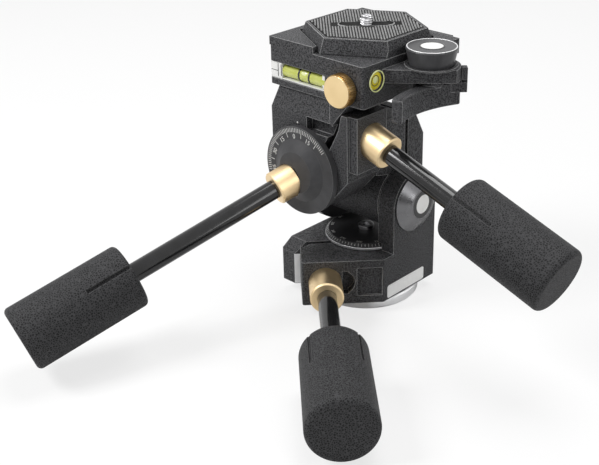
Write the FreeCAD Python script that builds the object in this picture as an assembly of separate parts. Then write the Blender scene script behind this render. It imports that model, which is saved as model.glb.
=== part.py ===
import FreeCAD, Part
import math
import os

os.makedirs("parts", exist_ok=True)
V = FreeCAD.Vector

# Three way pan tilt head. Millimetres, +Z up, origin at the centre of the underside of the base disc,
# on the pan axis. +X is the side with the upright arm, -Y is the side with the dial.

# Clearances
run_gap = 0.05
face_gap = 0.3
thrust_gap = 0.1

# Base and pan axis
base_radius = 30.0
base_height = 6.0
base_bevel = 0.8
bush_radius = 8.0
bush_bore_radius = 3.97
bush_length = 14.0
post_radius = 14.0
pan_washer_radius = 24.0
pan_washer_thickness = 0.5
scale_disc_radius = 23.0
scale_disc_thickness = 3.6
post_screw_radius = 4.5
post_screw_height = 1.8
post_socket_radius = 2.2

# Pan body and its arm
body_height = 26.4
arm_face_x = 29.3
arm_thickness = 11.0
arm_centre_y = 7.5
arm_half_width = 18.0
body_rear_y = 26.0
body_left_x = -32.5
body_corner = 10.0
rear_jaw_y = -35.8
clamp_angle = -43.5
clamp_face = 34.0
clamp_left = -38.2
pan_slit_place = 8.5
pan_slit_width = 3.0
pan_slit_end = -3.0
jaw_bevel_height = 7.4
jaw_bevel_depth = 4.9
jaw_side_bevel = 3.4
pan_handle_side = -25.5
pan_handle_height = 13.9
panel_width = 14.0
panel_middle = -1.0
panel_height = 17.0
panel_depth = 1.4
window_width = 7.0
window_depth = 5.0
cast_radius = 1.5

# Tilt axis, along X
tilt_axis_height = 26.0
tilt_axle_radius = 10.0
tilt_clamp_radius = 18.2
tilt_clamp_left_x = -24.0
tilt_washer_thickness = 0.5
tilt_washer_radius = 16.2
tilt_plate_radius = 15.0
tilt_plate_thickness = 2.6
tilt_screw_radius = 5.0
tilt_screw_height = 1.3
tilt_socket_radius = 2.5
end_cap_radius = 16.8
end_cap_top_radius = 9.6
end_cap_height = 5.4
end_cap_rim = 0.8
cap_ring_radius = 8.2
cap_insert_radius = 5.4
cap_recess = 0.8

# Tilt body
tilt_front_y = -11.6
tilt_rear_y = 28.0
tilt_top_height = 47.6
tilt_left_x = -30.0
tilt_top_bevel = 8.5
tilt_rear_bevel = 16.0
tilt_side_bevel = 15.6
tilt_rear_low_height = 8.0
tilt_slit_place = 12.0
tilt_slit_width = 2.5
tilt_boss_radius = 22.5

# Lateral axis, along Y
lateral_x = -10.5
lateral_height = 23.0
lateral_axle_radius = 10.0
lateral_axle_rear_y = 8.0
dial_radius = 24.4
dial_thickness = 3.6
dial_land = 7.0
dial_hub_radius = 11.5
dial_hub_height = 3.6

# Platform with the lateral clamp
platform_left_x = -35.5
platform_right_x = 30.0
platform_front_y = -36.5
platform_rear_y = 37.0
platform_height = 42.3
platform_thickness = 22.0
lip_height = 3.7
lip_right_x = -4.0
seat_gap = 0.6
fence_right_x = 42.2
fence_front_y = 17.0
fence_rear_y = 25.0
clamp_front_y = -38.0
clamp_rear_y = -12.0
knuckle_half_width = 23.5
clamp_right_x = 20.5
jaw_top_height = 36.5
jaw_boss_x = 26.0
jaw_boss_height = 6.0
jaw_boss_inset = 1.5
knuckle_crease_height = 30.2
knuckle_lean = 3.5
knuckle_set_back = 3.5
knuckle_land = 12.0
lateral_slit_width = 4.0
slit_bore_x = 7.0
slit_bore_z = 6.0
slit_bend_x = 16.5
slit_bend_z = 20.5
slit_crease_x = 21.0
notch_left_x = -8.1
notch_height = 22.4
notch_width = 18.0
notch_depth = 4.5

# Quick release plate
plate_bottom_radius = 35.5
plate_top_radius = 32.6
plate_thickness = 8.5
plate_edge = 1.2
plate_right_x = 29.8
pad_thickness = 0.8
pad_sink = 0.4
pad_inset = 1.6
camera_screw_radius = 3.175
camera_screw_length = 4.6
camera_screw_neck = 0.3
screw_head_radius = 9.0
screw_head_height = 3.0
screw_relief_depth = 3.3
screw_slot_width = 1.8

# Locking lever
lever_x = 43.8
lever_y = 0.0
lug_radius = 15.0
lug_height = 10.7
lug_thickness = 7.0
lug_root_y = -22.0
lug_root_run = 6.0
lug_front_reach = 8.5
lug_front_angle = 41.0
lever_height = 14.1
lever_arm_height = 12.1
lever_hub_radius = 9.2
lever_band = 6.2
lever_root_x = 10.9
lever_root_y = 10.3
lever_tip_x = 6.9
lever_tip_y = -33.0
lever_bow = 4.5
lever_lip = 1.5
tab_half_width = 2.0
tab_thickness = 3.0
tab_height = 6.0
tab_angle = 46
lever_pin_radius = 4.0
lever_cap_radius = 13.5
lever_cap_foot_radius = 11.4
lever_cap_height = 9.6
lever_cap_bevel = 0.7
cap_dot_radius = 5.9
spring_wire_width = 1.0
spring_coil_radius = 5.6
spring_turns = 3
spring_pitch = 1.6

# Levels and safety knob
vial_slot_left_x = -35.5
vial_slot_length = 39.5
vial_slot_rise = 8.0
vial_slot_height = 9.0
vial_slot_depth = 8.0
vial_radius = 3.6
vial_block_length = 8.5
vial_block_inset = 0.4
vial_ring_width = 1.0
vial_ring_height = 0.25
round_vial_y = -28.1
round_vial_rise = 13.5
round_vial_radius = 5.8
round_vial_depth = 4.5
round_vial_rim = 0.8
round_vial_floor = 1.0
round_lens_radius = 4.6
round_lens_sink = 0.4
knob_x = 17.5
knob_rise = 8.3
knob_radius = 8.2
knob_thickness = 6.0
knob_stem_radius = 2.0
knob_stem_length = 14.0
knurl_count = 36
knurl_depth = 0.35
knurl_length = 5.1

# Handles
rod_radius = 5.2
stud_radius = 3.0
collar_radius = 9.1
collar_lip = 0.7
grip_radius = 17.4
grip_length = 63.0
grip_round = 2.7
groove_count = 4
groove_width = 2.0
groove_length = 25.0
groove_depth = 1.2
grip_socket = 22.0
handle_fall_angle = 18.6
tilt_handle_angle = -106.9
lateral_handle_angle = -1.0
pan_collar_length = 18.0
tilt_collar_length = 12.0
lateral_collar_length = 12.5
pan_rod_length = 53.8
tilt_rod_length = 87.6
lateral_rod_length = 48.2
pan_stud_length = 42.0
tilt_stud_length = 68.0
lateral_stud_length = 36.0
lateral_handle_y = -24.7
lateral_handle_height = 21.6
tilt_handle_pivot_y = -26.0
collar_seat = 3.0

# Levels that follow from the sizes above
body_bottom_z = base_height + pan_washer_thickness + thrust_gap
body_top_z = body_bottom_z + body_height
scale_disc_z = body_top_z + face_gap
tilt_axis_z = body_top_z + tilt_axis_height
tilt_top_z = tilt_axis_z + tilt_top_height
tilt_rear_low_z = tilt_axis_z + tilt_rear_low_height
lateral_z = tilt_axis_z + lateral_height
jaw_boss_bottom_z = lateral_z + jaw_boss_height
notch_bottom_z = lateral_z + notch_height
lateral_handle_z = lateral_z + lateral_handle_height
knuckle_crease_z = lateral_z + knuckle_crease_height
jaw_top_z = lateral_z + jaw_top_height
platform_bottom_z = lateral_z + platform_height
arm_inner_x = arm_face_x - arm_thickness
tilt_clamp_right_x = arm_inner_x - tilt_washer_thickness - thrust_gap
dial_rear_y = clamp_front_y - face_gap
dial_face_y = dial_rear_y - dial_thickness
platform_top_z = platform_bottom_z + platform_thickness
plate_z = platform_top_z
plate_top_z = plate_z + plate_thickness
camera_seat_z = plate_top_z - pad_sink + pad_thickness
vial_slot_z = platform_bottom_z + vial_slot_rise
round_vial_z = platform_bottom_z + round_vial_rise
knob_z = platform_bottom_z + knob_rise
lug_bottom_z = platform_bottom_z + lug_height
tab_top_z = lug_bottom_z + tab_height
vial_y = platform_front_y + vial_slot_depth - vial_radius - vial_ring_height
lever_z = lug_bottom_z - face_gap - lever_height
lever_cap_z = lug_bottom_z + lug_thickness + face_gap


def cylinder(start, direction, radius, length):
    return Part.makeCylinder(radius, length, start, direction)


def cone(start, direction, radius, far_radius, length):
    return Part.makeCone(radius, far_radius, length, start, direction)


def ring(start, direction, radius, bore, length):
    return cylinder(start, direction, radius, length).cut(cylinder(start, direction, bore, length))


def block(x, y, z):
    low = V(x[0], y[0], z[0])
    return Part.makeBox(x[1] - x[0], y[1] - y[0], z[1] - z[0], low)


def prism(points, travel):
    wire = Part.makePolygon(points + [points[0]])
    return Part.Face(wire).extrude(travel)


def soften(shape, radius, chooser):
    edges = [edge for edge in shape.Edges if chooser(edge)]
    return shape.makeFillet(radius, edges) if edges else shape


def is_upright(edge):
    ends = edge.Vertexes
    if len(ends) != 2 or not isinstance(edge.Curve, Part.Line):
        return False
    run = ends[1].Point.sub(ends[0].Point)
    return abs(run.z) > 0.99 * run.Length and run.Length > 4 * cast_radius


def heading(azimuth, fall):
    a = math.radians(azimuth)
    f = math.radians(fall)
    return V(math.cos(a) * math.cos(f), math.sin(a) * math.cos(f), -math.sin(f))


def save(name, shape):
    shape.exportStep("parts/" + name + ".step")


# Pan clamp directions: front is the way its handle points, side runs along the slit
clamp_front = heading(clamp_angle, 0)
clamp_side = V(-clamp_front.y, clamp_front.x, 0)


def clamp_point(side, front, z):
    return clamp_side * side + clamp_front * front + V(0, 0, z)


def clamp_block(side, front, z):
    corners = [clamp_point(side[0], front[0], z[0]), clamp_point(side[1], front[0], z[0]),
               clamp_point(side[1], front[1], z[0]), clamp_point(side[0], front[1], z[0])]
    return prism(corners, V(0, 0, z[1] - z[0]))


# Handle lines: where each collar leaves the casting, and the way it points
pan_handle_start = clamp_point(pan_handle_side, clamp_face, body_bottom_z + pan_handle_height)
pan_handle_way = clamp_front
tilt_handle_way = heading(tilt_handle_angle, handle_fall_angle)
tilt_handle_pivot = V(lateral_x, tilt_handle_pivot_y, lateral_z)
tilt_handle_run = (dial_face_y - tilt_handle_pivot.y) / tilt_handle_way.y
tilt_handle_start = tilt_handle_pivot + tilt_handle_way * tilt_handle_run
lateral_handle_way = heading(lateral_handle_angle, handle_fall_angle)
lateral_handle_start = V(jaw_boss_x, lateral_handle_y, lateral_handle_z)


def stud_hole(start, way, length):
    return cylinder(start - way * length, way, stud_radius + run_gap, length + 2 * collar_radius)


# Base


def base_disc():
    disc = cylinder(V(0, 0, 0), V(0, 0, 1), base_radius, base_height)
    disc = disc.makeChamfer(base_bevel, [e for e in disc.Edges if isinstance(e.Curve, Part.Circle)])
    return disc.cut(cylinder(V(0, 0, 0), V(0, 0, 1), bush_radius, base_height))


def tripod_bush():
    return ring(V(0, 0, 0), V(0, 0, 1), bush_radius, bush_bore_radius, bush_length)


def pan_post():
    post = cylinder(V(0, 0, base_height), V(0, 0, 1), post_radius, scale_disc_z - base_height)
    return post.cut(cylinder(V(0, 0, base_height), V(0, 0, 1), bush_radius, bush_length - base_height))


def pan_washer():
    return ring(V(0, 0, base_height), V(0, 0, 1), pan_washer_radius, post_radius, pan_washer_thickness)


def pan_scale_disc():
    disc = cylinder(V(0, 0, scale_disc_z), V(0, 0, 1), scale_disc_radius, scale_disc_thickness)
    top = [e for e in disc.Edges if isinstance(e.Curve, Part.Circle)
           and e.CenterOfMass.z > scale_disc_z + scale_disc_thickness / 2]
    return disc.makeChamfer(scale_disc_thickness / 2, top)


def post_screw():
    start = V(0, 0, scale_disc_z + scale_disc_thickness)
    head = cylinder(start, V(0, 0, 1), post_screw_radius, post_screw_height)
    socket = start + V(0, 0, post_screw_height / 2)
    return head.cut(cylinder(socket, V(0, 0, 1), post_socket_radius, post_screw_height))


# Pan body: a casting with a split clamp round the post and an upright arm on the +X side


def pan_plan():
    right_corner = V(arm_face_x, (arm_face_x * clamp_front.x - clamp_face) / -clamp_front.y, 0)
    jaw_left = clamp_point(clamp_left, clamp_face, 0)
    jaw_slit = clamp_point(clamp_left, pan_slit_place + pan_slit_width, 0)
    rear_meet = V((pan_slit_place + rear_jaw_y * -clamp_front.y) / clamp_front.x, rear_jaw_y, 0)
    return [V(arm_face_x, body_rear_y, 0), right_corner, jaw_left, jaw_slit, rear_meet,
            V(body_left_x, rear_jaw_y, 0), V(body_left_x, body_rear_y - body_corner, 0),
            V(body_left_x + body_corner, body_rear_y, 0)]


def jaw_bevel():
    low = body_top_z - jaw_bevel_height
    x = 2 * body_left_x
    y = 2 * rear_jaw_y
    front = prism([V(x, rear_jaw_y - 1, low), V(x, rear_jaw_y, low),
                   V(x, rear_jaw_y + jaw_bevel_depth, body_top_z), V(x, rear_jaw_y - 1, body_top_z + 1)],
                  V(-x - post_radius, 0, 0))
    side = prism([V(body_left_x - 1, y, low), V(body_left_x, y, low),
                  V(body_left_x + jaw_side_bevel, y, body_top_z), V(body_left_x - 1, y, body_top_z + 1)],
                 V(0, body_rear_y - y, 0))
    return front.fuse(side)


def front_panel():
    middle = body_bottom_z + body_height / 2
    depth = clamp_face - panel_depth
    side = (panel_middle - panel_width / 2, panel_middle + panel_width / 2)
    panel = clamp_block(side, (depth, clamp_face + 1),
                        (middle - panel_height / 2, middle + panel_height / 2))
    window_side = pan_handle_side + collar_radius + face_gap
    reach = (clamp_face - window_depth, clamp_face + 1)
    window = clamp_block((window_side, window_side + window_width / 2), reach,
                         (middle - window_width, middle + window_width))
    arc = cylinder(clamp_point(window_side, clamp_face - window_depth, middle), clamp_front,
                   window_width, window_depth + 1)
    keep = clamp_block((window_side, window_side + window_width), (0, 2 * clamp_face), (0, body_top_z))
    return panel.fuse(window).fuse(arc.common(keep))


def arm():
    top = cylinder(V(arm_inner_x, arm_centre_y, tilt_axis_z), V(1, 0, 0), arm_half_width, arm_thickness)
    width = (arm_centre_y - arm_half_width, arm_centre_y + arm_half_width)
    leg = block((arm_inner_x, arm_face_x), width, (body_bottom_z, tilt_axis_z))
    return top.fuse(leg).removeSplitter()


def scale_disc_room():
    # the arm is hollowed a little so that the scale disc turns clear of it
    start = V(0, 0, body_top_z)
    return cylinder(start, V(0, 0, 1), scale_disc_radius + face_gap, scale_disc_thickness + 2 * face_gap)


def pan_body():
    plan = [p + V(0, 0, body_bottom_z) for p in pan_plan()]
    body = prism(plan, V(0, 0, body_height))
    body = soften(body, cast_radius, is_upright)
    body = body.cut(jaw_bevel())
    body = body.fuse(arm()).removeSplitter()
    through = scale_disc_z - body_bottom_z
    body = body.cut(cylinder(V(0, 0, body_bottom_z), V(0, 0, 1), post_radius + run_gap, through))
    slit = (pan_slit_place, pan_slit_place + pan_slit_width)
    body = body.cut(clamp_block((3 * clamp_left, pan_slit_end), slit, (0, 2 * body_top_z)))
    body = body.cut(front_panel())
    body = body.cut(scale_disc_room())
    body = body.cut(stud_hole(pan_handle_start, pan_handle_way, pan_stud_length))
    shaft = cylinder(V(arm_inner_x, arm_centre_y, tilt_axis_z), V(1, 0, 0), tilt_axle_radius, arm_thickness)
    return body.cut(shaft)


# Tilt axle, fixed in the arm, and what covers its ends


def tilt_axle():
    start = V(tilt_clamp_left_x - thrust_gap, arm_centre_y, tilt_axis_z)
    return cylinder(start, V(1, 0, 0), tilt_axle_radius, arm_face_x - start.x)


def tilt_end_plate():
    start = V(tilt_clamp_left_x - thrust_gap - tilt_plate_thickness, arm_centre_y, tilt_axis_z)
    plate = cylinder(start, V(1, 0, 0), tilt_plate_radius, tilt_plate_thickness)
    return plate.cut(cylinder(start, V(1, 0, 0), tilt_screw_radius, tilt_screw_height))


def tilt_plate_screw():
    start = V(tilt_clamp_left_x - thrust_gap - tilt_plate_thickness, arm_centre_y, tilt_axis_z)
    head = cylinder(start, V(1, 0, 0), tilt_screw_radius, tilt_screw_height)
    return head.cut(cylinder(start, V(1, 0, 0), tilt_socket_radius, tilt_screw_height / 2))


def tilt_end_cap():
    start = V(arm_face_x, arm_centre_y, tilt_axis_z)
    rim = cylinder(start, V(1, 0, 0), end_cap_radius, end_cap_rim)
    slope = cone(start + V(end_cap_rim, 0, 0), V(1, 0, 0), end_cap_radius, end_cap_top_radius,
                 end_cap_height - end_cap_rim)
    recess = cylinder(start + V(end_cap_height - cap_recess, 0, 0), V(1, 0, 0), cap_ring_radius, cap_recess)
    return rim.fuse(slope).removeSplitter().cut(recess)


def tilt_cap_ring():
    start = V(arm_face_x + end_cap_height - cap_recess, arm_centre_y, tilt_axis_z)
    return ring(start, V(1, 0, 0), cap_ring_radius, cap_insert_radius, cap_recess)


def tilt_cap_insert():
    start = V(arm_face_x + end_cap_height - cap_recess, arm_centre_y, tilt_axis_z)
    return cylinder(start, V(1, 0, 0), cap_insert_radius, cap_recess)


# Tilt body: split clamp on the tilt axle, carrying the lateral axle


def tilt_washer():
    start = V(tilt_clamp_right_x, arm_centre_y, tilt_axis_z)
    return ring(start, V(1, 0, 0), tilt_washer_radius, tilt_axle_radius + face_gap, tilt_washer_thickness)


def tilt_side_profile():
    bevel_z = tilt_top_z - tilt_rear_bevel
    front_low = tilt_axis_z + tilt_clamp_radius
    return [V(tilt_left_x, tilt_front_y, front_low), V(tilt_left_x, tilt_rear_y, tilt_rear_low_z),
            V(tilt_left_x, tilt_rear_y, bevel_z), V(tilt_left_x, tilt_rear_y - tilt_top_bevel, tilt_top_z),
            V(tilt_left_x, tilt_front_y, tilt_top_z)]


def tilt_left_bevel():
    y = tilt_front_y - 1
    low = tilt_top_z - tilt_side_bevel
    right = tilt_left_x + tilt_side_bevel
    corner = [V(tilt_left_x - 1, y, tilt_top_z + 1), V(tilt_left_x - 1, y, low), V(tilt_left_x, y, low),
              V(right, y, tilt_top_z), V(right, y, tilt_top_z + 1)]
    return prism(corner, V(0, tilt_rear_y - tilt_front_y + 2, 0))


def tilt_body():
    width = tilt_clamp_right_x - tilt_left_x
    upper = prism(tilt_side_profile(), V(width, 0, 0)).cut(tilt_left_bevel())
    clamp = cylinder(V(tilt_clamp_left_x, arm_centre_y, tilt_axis_z), V(1, 0, 0), tilt_clamp_radius,
                     tilt_clamp_right_x - tilt_clamp_left_x)
    boss = cylinder(V(lateral_x, tilt_front_y, lateral_z), V(0, 1, 0), tilt_boss_radius,
                    lateral_axle_rear_y - tilt_front_y)
    limit = block((tilt_left_x * 2, tilt_clamp_right_x), (tilt_front_y, tilt_rear_y), (0, tilt_top_z))
    body = upper.fuse(clamp).fuse(boss.common(limit)).removeSplitter()
    bore_start = V(tilt_left_x * 2, arm_centre_y, tilt_axis_z)
    body = body.cut(cylinder(bore_start, V(1, 0, 0), tilt_axle_radius + run_gap, -4 * tilt_left_x))
    clearance = cylinder(bore_start, V(1, 0, 0), tilt_plate_radius + 1, tilt_clamp_left_x - bore_start.x)
    body = body.cut(clearance)
    slit = block((tilt_left_x * 2, -tilt_left_x * 2), (tilt_slit_place, tilt_slit_place + tilt_slit_width),
                 (tilt_axis_z, 2 * tilt_top_z))
    body = body.cut(slit)
    body = body.cut(cylinder(V(lateral_x, tilt_front_y, lateral_z), V(0, 1, 0), lateral_axle_radius,
                             lateral_axle_rear_y - tilt_front_y))
    return body.cut(stud_hole(tilt_handle_start, tilt_handle_way, tilt_stud_length))


def lateral_axle():
    start = V(lateral_x, dial_rear_y, lateral_z)
    axle = cylinder(start, V(0, 1, 0), lateral_axle_radius, lateral_axle_rear_y - dial_rear_y)
    return axle.cut(stud_hole(tilt_handle_start, tilt_handle_way, tilt_stud_length))


def lateral_dial():
    rear = V(lateral_x, dial_rear_y, lateral_z)
    face = V(lateral_x, dial_face_y, lateral_z)
    disc = cylinder(rear, V(0, -1, 0), dial_radius, dial_thickness)
    hub = cone(face, V(0, -1, 0), dial_radius - dial_land, dial_hub_radius, dial_hub_height)
    dial = disc.fuse(hub)
    collar = cylinder(tilt_handle_start - tilt_handle_way * dial_thickness, tilt_handle_way,
                      collar_radius + face_gap, 4 * collar_radius)
    dial = dial.cut(collar)
    return dial.cut(stud_hole(tilt_handle_start, tilt_handle_way, tilt_stud_length))


# Platform: the quick release seat and the split clamp on the lateral axle, one casting


def lateral_housing():
    left = lateral_x - knuckle_half_width
    depth = V(0, clamp_rear_y - clamp_front_y, 0)
    y = clamp_front_y
    shoulder = [V(left, y, lateral_z), V(left, y, knuckle_crease_z),
                V(left + knuckle_lean, y, platform_bottom_z), V(clamp_right_x, y, platform_bottom_z),
                V(clamp_right_x, y, lateral_z)]
    upper = prism(shoulder, depth)
    barrel = cylinder(V(lateral_x, y, lateral_z), V(0, 1, 0), knuckle_half_width, depth.y)
    reach = clamp_right_x - lateral_x
    touch = math.asin(knuckle_half_width / reach)
    tangent = V(lateral_x + knuckle_half_width * math.sin(touch), y,
                lateral_z - knuckle_half_width * math.cos(touch))
    corner = prism([V(clamp_right_x, y, lateral_z), tangent, V(lateral_x, y, lateral_z)], depth)
    return upper.fuse(barrel).fuse(corner).removeSplitter()


def jaw_boss():
    low = clamp_front_y + jaw_boss_inset
    high = clamp_rear_y - jaw_boss_inset
    return block((clamp_right_x - 1, jaw_boss_x), (low, high), (jaw_boss_bottom_z, jaw_top_z))


def lateral_slit():
    w = lateral_slit_width
    y = clamp_front_y - 1
    bore = V(lateral_x + slit_bore_x, y, lateral_z + slit_bore_z)
    bend = V(lateral_x + slit_bend_x, y, lateral_z + slit_bend_z)
    crease = V(lateral_x + slit_crease_x, y, knuckle_crease_z)
    above = [bore, bend, crease, V(clamp_right_x, y, platform_bottom_z),
             V(jaw_boss_x + 1, y, platform_bottom_z)]
    below = [V(jaw_boss_x + 1, y, jaw_top_z), V(clamp_right_x - w, y, jaw_top_z), crease + V(w, 0, -w / 2),
             bend + V(w, 0, -w / 3), bore + V(w, 0, -w)]
    return prism(above + below, V(0, clamp_rear_y - clamp_front_y + 2, 0))


def knuckle_slope():
    x = 2 * platform_left_x
    y = clamp_front_y
    wedge = [V(x, y - 1, knuckle_crease_z), V(x, y, knuckle_crease_z),
             V(x, y + knuckle_set_back, platform_bottom_z), V(x, y - 1, platform_bottom_z)]
    return prism(wedge, V(clamp_right_x - knuckle_land - x, 0, 0))


def knuckle_notch():
    return block((notch_left_x, notch_left_x + notch_width), (clamp_front_y - 1, clamp_front_y + notch_depth),
                 (notch_bottom_z, knuckle_crease_z))


def hexagon(radius, z):
    turns = [math.radians(60 * i) for i in range(6)]
    return [V(radius * math.sin(t), -radius * math.cos(t), z) for t in turns]


def cut_flat(shape):
    # the plate and its pad share one flat on the +X side
    reach = 2 * plate_bottom_radius
    return shape.common(block((-reach, plate_right_x), (-reach, reach), (0, 2 * plate_top_z)))


def lip():
    # two raised walls, which the plate's foot drops between
    top = platform_top_z + lip_height
    raised = block((platform_left_x, lip_right_x), (platform_front_y, platform_rear_y), (platform_top_z - 1, top))
    fence = block((0, fence_right_x), (fence_front_y, fence_rear_y), (lug_bottom_z + lug_thickness, top))
    seat = prism(hexagon(plate_bottom_radius + seat_gap, platform_top_z), V(0, 0, 2 * lip_height))
    return raised.fuse(fence).cut(seat)


def lever_lug():
    # round at the far end and the rear, with a straight slanting edge at the front
    centre = V(lever_x, lever_y, lug_bottom_z)
    up = V(0, 0, lug_thickness)
    along = heading(lug_front_angle, 0)
    ahead = V(along.y, -along.x, 0)
    foot = centre + ahead * lug_front_reach
    far = foot + along * math.sqrt(lug_radius ** 2 - lug_front_reach ** 2)
    corner = foot - along * ((foot.x - platform_right_x - lug_root_run) / along.x)
    front = [foot - along * lug_radius, foot + along * lug_radius]
    in_front = prism(front + [front[1] + ahead * lug_radius, front[0] + ahead * lug_radius], up)
    round_end = cylinder(centre, V(0, 0, 1), lug_radius, lug_thickness).cut(in_front)
    root = platform_right_x - cast_radius
    web = prism([V(root, lug_root_y, lug_bottom_z), V(platform_right_x, lug_root_y, lug_bottom_z), corner, far,
                 centre, V(root, lever_y, lug_bottom_z)], up)
    return round_end.fuse(web).removeSplitter()


def vial_slot():
    half = vial_slot_height / 2
    return block((vial_slot_left_x - 1, vial_slot_left_x + vial_slot_length),
                 (platform_front_y - 1, platform_front_y + vial_slot_depth),
                 (vial_slot_z - half, vial_slot_z + half))


def platform():
    slab = block((platform_left_x, platform_right_x), (platform_front_y, platform_rear_y),
                 (platform_bottom_z, platform_top_z))
    slab = soften(slab, cast_radius, is_upright)
    body = slab.fuse(lip()).fuse(lever_lug())
    housing = lateral_housing().fuse(jaw_boss())
    housing = housing.cut(lateral_slit()).cut(knuckle_slope()).cut(knuckle_notch())
    body = body.fuse(housing).removeSplitter()
    axis_start = V(lateral_x, clamp_front_y, lateral_z)
    body = body.cut(cylinder(axis_start, V(0, 1, 0), lateral_axle_radius + run_gap,
                             clamp_rear_y - clamp_front_y))
    body = body.cut(stud_hole(lateral_handle_start, lateral_handle_way, lateral_stud_length))
    counterbore = lateral_handle_start - lateral_handle_way * collar_seat
    body = body.cut(cylinder(counterbore, lateral_handle_way, collar_radius + face_gap, 2 * collar_radius))
    body = body.cut(vial_slot())
    body = body.cut(cylinder(V(platform_right_x - round_vial_depth, round_vial_y, round_vial_z), V(1, 0, 0),
                             round_vial_radius, round_vial_depth))
    knob_hole = V(knob_x, platform_front_y, knob_z)
    body = body.cut(cylinder(knob_hole, V(0, 1, 0), knob_stem_radius + run_gap, knob_stem_length))
    pivot_hole = V(lever_x, lever_y, lug_bottom_z)
    body = body.cut(cylinder(pivot_hole, V(0, 0, 1), lever_pin_radius + run_gap, lug_thickness))
    relief = V(0, 0, platform_top_z - screw_relief_depth)
    return body.cut(cylinder(relief, V(0, 0, 1), screw_head_radius + 1, screw_relief_depth))


# Levels and safety knob


def tube_vial():
    start = V(vial_slot_left_x + vial_block_length, vial_y, vial_slot_z)
    return cylinder(start, V(1, 0, 0), vial_radius, vial_slot_length - vial_block_length)


def vial_block():
    half = vial_slot_height / 2
    return block((vial_slot_left_x + vial_block_inset, vial_slot_left_x + vial_block_length),
                 (platform_front_y + vial_block_inset, platform_front_y + vial_slot_depth),
                 (vial_slot_z - half, vial_slot_z + half))


def vial_rings():
    middle = vial_slot_left_x + (vial_slot_length + vial_block_length) / 2
    outer = vial_radius + vial_ring_height
    rings = []
    for side in (-1, 1):
        x = middle + side * vial_radius - vial_ring_width / 2
        rings.append(ring(V(x, vial_y, vial_slot_z), V(1, 0, 0), outer, vial_radius, vial_ring_width))
    return Part.makeCompound(rings)


def round_vial_case():
    start = V(platform_right_x - round_vial_depth, round_vial_y, round_vial_z)
    case = cylinder(start, V(1, 0, 0), round_vial_radius, round_vial_depth + round_vial_rim)
    floor = start + V(round_vial_floor, 0, 0)
    return case.cut(cylinder(floor, V(1, 0, 0), round_lens_radius, round_vial_depth))


def round_vial_lens():
    start = V(platform_right_x - round_vial_depth + round_vial_floor, round_vial_y, round_vial_z)
    return cylinder(start, V(1, 0, 0), round_lens_radius, round_vial_depth - round_lens_sink)


def safety_knob():
    rear = V(knob_x, platform_front_y - face_gap, knob_z)
    head = cylinder(rear, V(0, -1, 0), knob_radius, knob_thickness)
    cutters = []
    for i in range(knurl_count):
        a = 2 * math.pi * i / knurl_count
        place = rear + V(knob_radius * math.cos(a), 0, knob_radius * math.sin(a))
        cutters.append(cylinder(place, V(0, -1, 0), knurl_depth, knurl_length))
    head = head.cut(Part.makeCompound(cutters))
    stem = cylinder(rear, V(0, 1, 0), knob_stem_radius, knob_stem_length - face_gap)
    return head.fuse(stem)


# Quick release plate


def quick_plate():
    foot = prism(hexagon(plate_bottom_radius, plate_z), V(0, 0, plate_edge))
    low = hexagon(plate_bottom_radius, plate_z + plate_edge)
    high = hexagon(plate_top_radius, plate_top_z)
    rims = [Part.makePolygon(low + low[:1]), Part.makePolygon(high + high[:1])]
    plate = cut_flat(foot.fuse(Part.makeLoft(rims, True, True)).removeSplitter())
    plate = plate.cut(cylinder(V(0, 0, plate_z), V(0, 0, 1), camera_screw_radius + run_gap, plate_thickness))
    head = cylinder(V(0, 0, plate_z), V(0, 0, 1), screw_head_radius + face_gap, screw_head_height)
    recess = prism(hexagon(plate_top_radius - pad_inset, plate_top_z - pad_sink), V(0, 0, pad_thickness))
    return plate.cut(head).cut(recess)


def plate_pad():
    pad = prism(hexagon(plate_top_radius - pad_inset, plate_top_z - pad_sink), V(0, 0, pad_thickness))
    return cut_flat(pad).cut(cylinder(V(0, 0, plate_z), V(0, 0, 1), 2 * camera_screw_radius, plate_top_z))


def camera_screw():
    head = cylinder(V(0, 0, plate_z), V(0, 0, 1), screw_head_radius, screw_head_height)
    neck = cylinder(V(0, 0, plate_z), V(0, 0, 1), camera_screw_radius - camera_screw_neck,
                    plate_thickness + pad_thickness)
    thread = cylinder(V(0, 0, camera_seat_z), V(0, 0, 1), camera_screw_radius, camera_screw_length)
    slot = block((-screw_head_radius, screw_head_radius), (-screw_slot_width / 2, screw_slot_width / 2),
                 (plate_z, plate_z + screw_head_height / 2))
    return head.fuse(neck).fuse(thread).cut(slot)


# Locking lever


def lever_arm():
    # the band leaves the hub and runs forward beside the platform, bowed towards it for the finger
    outer_start = V(lever_x + lever_root_x, lever_y + lever_root_y, lever_z)
    outer_end = V(lever_x + lever_tip_x, lever_y + lever_tip_y, lever_z)
    crown = (outer_start + outer_end) * 0.5 - V(lever_bow, 0, 0)
    inward = V(-lever_band, 0, 0)
    outer = Part.Arc(outer_start, crown, outer_end).toShape()
    inner = Part.Arc(outer_end + inward, crown + inward, outer_start + inward).toShape()
    tip = Part.makeLine(outer_end, outer_end + inward)
    root = Part.makeLine(outer_start + inward, outer_start)
    band = Part.Face(Part.Wire([outer, tip, inner, root])).extrude(V(0, 0, lever_arm_height))
    return soften(band, lever_lip, lambda edge: is_upright(edge) and edge.BoundBox.YMax < lever_y)


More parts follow.
